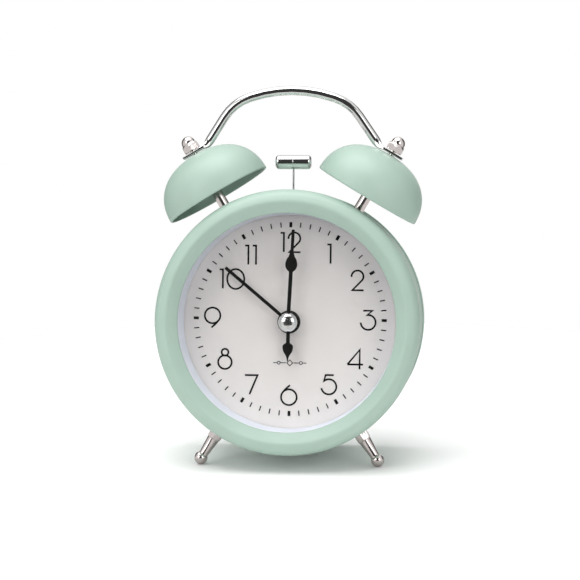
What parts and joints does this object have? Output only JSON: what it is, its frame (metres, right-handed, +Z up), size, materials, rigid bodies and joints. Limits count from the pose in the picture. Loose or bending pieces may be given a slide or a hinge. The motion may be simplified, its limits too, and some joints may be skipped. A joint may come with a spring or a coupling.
{
  "type": "alarm clock",
  "caption": "Round twin-bell desk alarm clock with a hammer between the bells, a carrying handle, splayed ball feet and a battery quartz movement.",
  "frame": {"origin": "bottom centre of the clock's box, on the surface that it stands on", "axes": "+Z up, the dial faces -Y and leans back 8.7 degrees, +X to the right seen from the front"},
  "size_m": [0.09, 0.0568, 0.1267],
  "materials": {
    "mint_paint": "satin",
    "mint_plastic": "satin",
    "clear_lens": "clear",
    "pale_plastic": "satin",
    "dial_card": "matte print",
    "black_paint": "satin black",
    "chrome": "polished",
    "nickel": "warm nickel plate",
    "steel": "plain",
    "brass": "plain",
    "white_plastic": "moulded",
    "dark_plastic": "moulded",
    "copper_wire": "enamelled winding",
    "board_green": "circuit board",
    "battery_wrap": "printed wrap, no print"
  },
  "bodies": {
    "case": {"bezel": "mint_paint", "case_drum": "mint_paint", "left_bell": "mint_paint", "right_bell": "mint_paint", "rear_cover": "mint_plastic", "lens": "clear_lens", "spacer_ring": "pale_plastic", "dial": "dial_card", "handle": "chrome", "left_bell_post": "nickel", "right_bell_post": "nickel", "left_cap_nut": "nickel", "right_cap_nut": "nickel", "left_post_nut": "nickel", "right_post_nut": "nickel", "left_foot": "nickel", "right_foot": "nickel", "left_foot_nut": "nickel", "right_foot_nut": "nickel", "battery_spring": "nickel", "battery_plate_contact": "nickel", "hammer_pivot_pin": "steel", "bell_motor": "steel", "motor_bracket": "steel", "quartz_crystal": "steel", "stator": "steel", "rear_screw_top_left": "steel", "rear_screw_top_right": "steel", "rear_screw_bottom": "steel", "movement_screw_left": "steel", "movement_screw_right": "steel", "alarm_contact_spring": "brass", "dial_carrier": "white_plastic", "movement_front_plate": "white_plastic", "movement_housing": "white_plastic", "coil": "copper_wire", "circuit_board": "board_green", "battery": "battery_wrap"},
    "minute_set": {"centre_arbor": "brass", "minute_hand": "black_paint", "hand_cap": "chrome"},
    "hour_set": {"hour_wheel": "white_plastic", "hour_hand": "black_paint"},
    "alarm_set": {"alarm_wheel": "white_plastic", "alarm_hand": "black_paint"},
    "time_setter": {"time_knob": "dark_plastic", "minute_wheel": "white_plastic"},
    "alarm_setter": {"alarm_knob": "dark_plastic", "alarm_pinion": "white_plastic"},
    "centre_wheel": {"centre_wheel": "brass"},
    "third_wheel": {"third_wheel": "white_plastic"},
    "intermediate_wheel": {"intermediate_wheel": "white_plastic"},
    "rotor": {"rotor": "dark_plastic"},
    "bell_shaft": {"motor_cam": "brass"},
    "hammer": {"hammer_head": "chrome", "hammer_rod": "steel", "hammer_lever": "steel"},
    "alarm_switch": {"alarm_switch": "dark_plastic"},
    "battery_door": {"battery_door": "mint_plastic"}
  },
  "joints": [
    {"name": "minute_turn", "type": "hinge", "parent": "case", "child": "minute_set", "pos_m": [0, -0.01734, 0.04996], "axis": [0, 0.9886, -0.1506], "continuous": true},
    {"name": "hour_turn", "type": "hinge", "parent": "case", "child": "hour_set", "pos_m": [0, -0.01734, 0.04996], "axis": [0, 0.9886, -0.1506], "continuous": true},
    {"name": "alarm_turn", "type": "hinge", "parent": "case", "child": "alarm_set", "pos_m": [0, -0.01734, 0.04996], "axis": [0, 0.9886, -0.1506], "continuous": true},
    {"name": "time_knob_turn", "type": "hinge", "parent": "case", "child": "time_setter", "pos_m": [0.012, -0.01734, 0.04996], "axis": [0, 0.9886, -0.1506], "continuous": true},
    {"name": "alarm_knob_turn", "type": "hinge", "parent": "case", "child": "alarm_setter", "pos_m": [-0.012, -0.01734, 0.04996], "axis": [0, 0.9886, -0.1506], "continuous": true},
    {"name": "centre_wheel_turn", "type": "hinge", "parent": "case", "child": "centre_wheel", "pos_m": [0, -0.01734, 0.04996], "axis": [0, 0.9886, -0.1506], "continuous": true},
    {"name": "third_wheel_turn", "type": "hinge", "parent": "case", "child": "third_wheel", "pos_m": [0, 0.00325, 0.05897], "axis": [0, 0.9886, -0.1506], "continuous": true},
    {"name": "intermediate_wheel_turn", "type": "hinge", "parent": "case", "child": "intermediate_wheel", "pos_m": [0.012, 0.00424, 0.05881], "axis": [0, 0.9886, -0.1506], "continuous": true},
    {"name": "rotor_turn", "type": "hinge", "parent": "case", "child": "rotor", "pos_m": [0.012, 0.00544, 0.06672], "axis": [0, 0.9886, -0.1506], "continuous": true},
    {"name": "bell_shaft_turn", "type": "hinge", "parent": "case", "child": "bell_shaft", "pos_m": [0, 0.00633, 0.07923], "axis": [0, 0.9886, -0.1506], "continuous": true},
    {"name": "hammer_swing", "type": "hinge", "parent": "case", "child": "hammer", "pos_m": [0, 0.00793, 0.08637], "axis": [0, 0.9886, -0.1506], "range_deg": [-13, 13]},
    {"name": "switch_slide", "type": "slide", "parent": "case", "child": "alarm_switch", "axis": [1, 0, 0], "range_m": [0, 0.004]},
    {"name": "door_tilt", "type": "hinge", "parent": "case", "child": "battery_door", "pos_m": [0, 0.01508, 0.01645], "axis": [-1, 0, 0], "range_deg": [0, 75]}
  ],
  "couplings": [
    {"joint": "hour_turn", "follows": "minute_turn", "ratio": 0.083333},
    {"joint": "time_knob_turn", "follows": "minute_turn", "ratio": -0.33333},
    {"joint": "alarm_knob_turn", "follows": "alarm_turn", "ratio": -2},
    {"joint": "third_wheel_turn", "follows": "centre_wheel_turn", "ratio": -4},
    {"joint": "intermediate_wheel_turn", "follows": "centre_wheel_turn", "ratio": 20},
    {"joint": "rotor_turn", "follows": "centre_wheel_turn", "ratio": -60}
  ]
}
